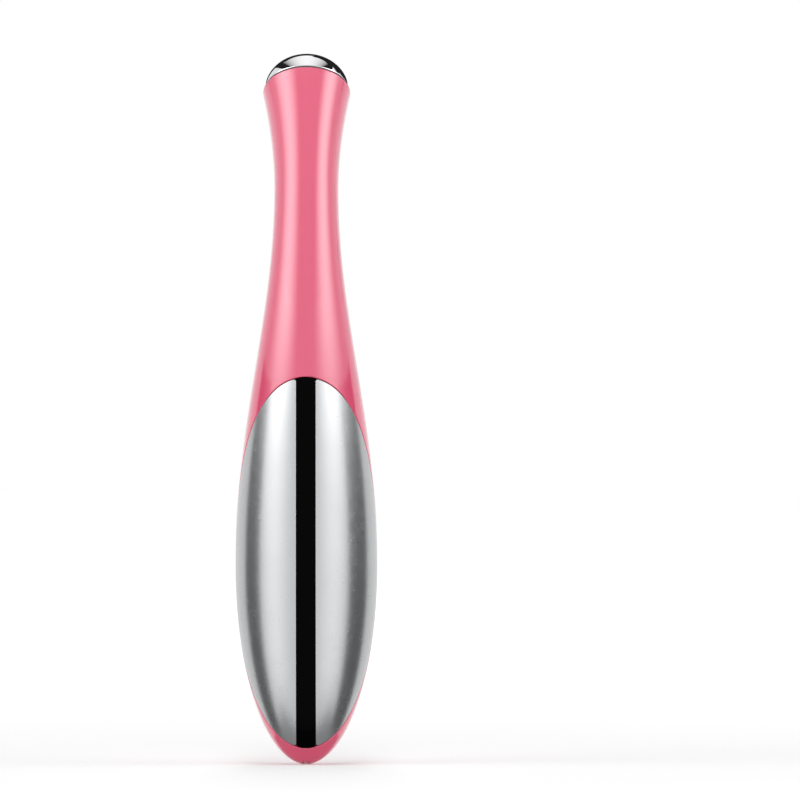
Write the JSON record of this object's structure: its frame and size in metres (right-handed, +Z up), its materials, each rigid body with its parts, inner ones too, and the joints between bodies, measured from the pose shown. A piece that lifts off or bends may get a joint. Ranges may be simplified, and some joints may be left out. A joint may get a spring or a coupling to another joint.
{
  "type": "heated eye massager wand",
  "caption": "Slim upright massage wand with a bulbed handle, split chrome grip plates, a bent neck, a heated polished dome head and a swing-off battery cover",
  "frame": {"origin": "centre of the whole part's bounding box in X and Y, on the underside of the rounded foot", "axes": "+Z up the handle towards the head, -Y out of the chrome grip plates, +Y out of the battery cover and the way the head leans, +X to the right seen from the plates"},
  "size_m": [0.0298, 0.0294, 0.1503],
  "materials": {
    "pink_shell": "glossy pink ABS moulding",
    "chromed_plate": "bright chrome plating over ABS, mirror smooth",
    "chromed_metal": "polished and chromed metal, mirror smooth",
    "black_gloss": "gloss black plastic",
    "grey_seal": "smooth light grey silicone",
    "heater_ceramic": "unglazed heater ceramic",
    "white_plastic": "natural white moulded plastic, satin",
    "plated_steel": "nickel plated steel, satin",
    "weight_metal": "sintered heavy metal, satin",
    "black_rubber": "soft black rubber",
    "cell_sleeve": "plain dark blue shrink sleeve, no print",
    "board_green": "green solder mask over glass fibre board",
    "ferrite": "dark grey ferrite",
    "capacitor_yellow": "moulded yellow epoxy",
    "gold_brass": "gold plated brass pins",
    "red_insulation": "red silicone lead insulation",
    "black_insulation": "black silicone lead insulation",
    "white_insulation": "white silicone cable sleeve"
  },
  "bodies": {
    "housing": {"main_housing": "pink_shell", "left_grip_plate": "chromed_plate", "right_grip_plate": "chromed_plate", "insulating_strip": "black_gloss", "massage_head": "chromed_metal", "head_seal_ring": "grey_seal", "heater_disc": "heater_ceramic", "thermistor": "black_gloss", "heater_clamp": "white_plastic", "motor_can": "plated_steel", "motor_end_cap": "white_plastic", "motor_boot": "black_rubber", "battery_tray": "white_plastic", "tray_screws": "plated_steel", "cell_can": "plated_steel", "cell_sleeve": "cell_sleeve", "battery_spring": "plated_steel", "negative_plate": "plated_steel", "positive_contact": "plated_steel", "circuit_board": "board_green", "touch_controller": "black_gloss", "boost_inductor": "ferrite", "storage_capacitor": "capacitor_yellow", "driver_transistor": "black_gloss", "left_plate_contact": "gold_brass", "right_plate_contact": "gold_brass", "motor_lead_red": "red_insulation", "motor_lead_black": "black_insulation", "head_cable": "white_insulation"},
    "cover": {"battery_cover": "pink_shell"},
    "rotor": {"motor_shaft": "plated_steel", "eccentric_weight": "weight_metal"}
  },
  "joints": [
    {"name": "cover_swing", "type": "hinge", "parent": "housing", "child": "cover", "pos_m": [0, -0.00408, 0], "axis": [-1, 0, 0], "range_deg": [0, 30]},
    {"name": "rotor_spin", "type": "hinge", "parent": "housing", "child": "rotor", "pos_m": [0, 0.0011, 0.12825], "axis": [0, 0.2816, 0.9595], "continuous": true}
  ]
}
